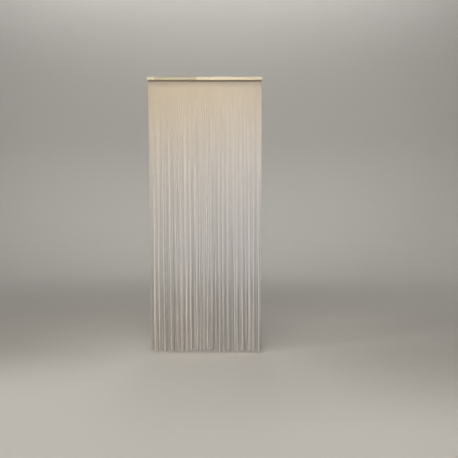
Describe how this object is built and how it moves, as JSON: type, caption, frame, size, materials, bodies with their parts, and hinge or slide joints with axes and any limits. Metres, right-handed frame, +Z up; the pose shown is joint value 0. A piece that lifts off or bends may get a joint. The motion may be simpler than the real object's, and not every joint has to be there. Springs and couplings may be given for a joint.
{
  "type": "string door curtain and its wooden lath",
  "caption": "Door curtain of loose twisted cords hanging in two rows from the underside of a straight wooden lath.",
  "frame": {"origin": "centre of the lath's back face, where the curtain is fastened over a doorway", "axes": "+X along the lath to the right as seen from the front, +Y out of the lath's back face towards the wall, +Z up; the cords hang towards -Z and the front faces -Y"},
  "size_m": [0.895, 0.03, 2.124],
  "materials": {
    "lath_wood": "pale plain wood, planed and lightly sealed, satin",
    "cord_cotton": "unbleached grey-beige twisted cotton cord, matt"
  },
  "bodies": {
    "root": {"lath": "lath_wood", "strands": "cord_cotton"}
  },
  "joints": []
}
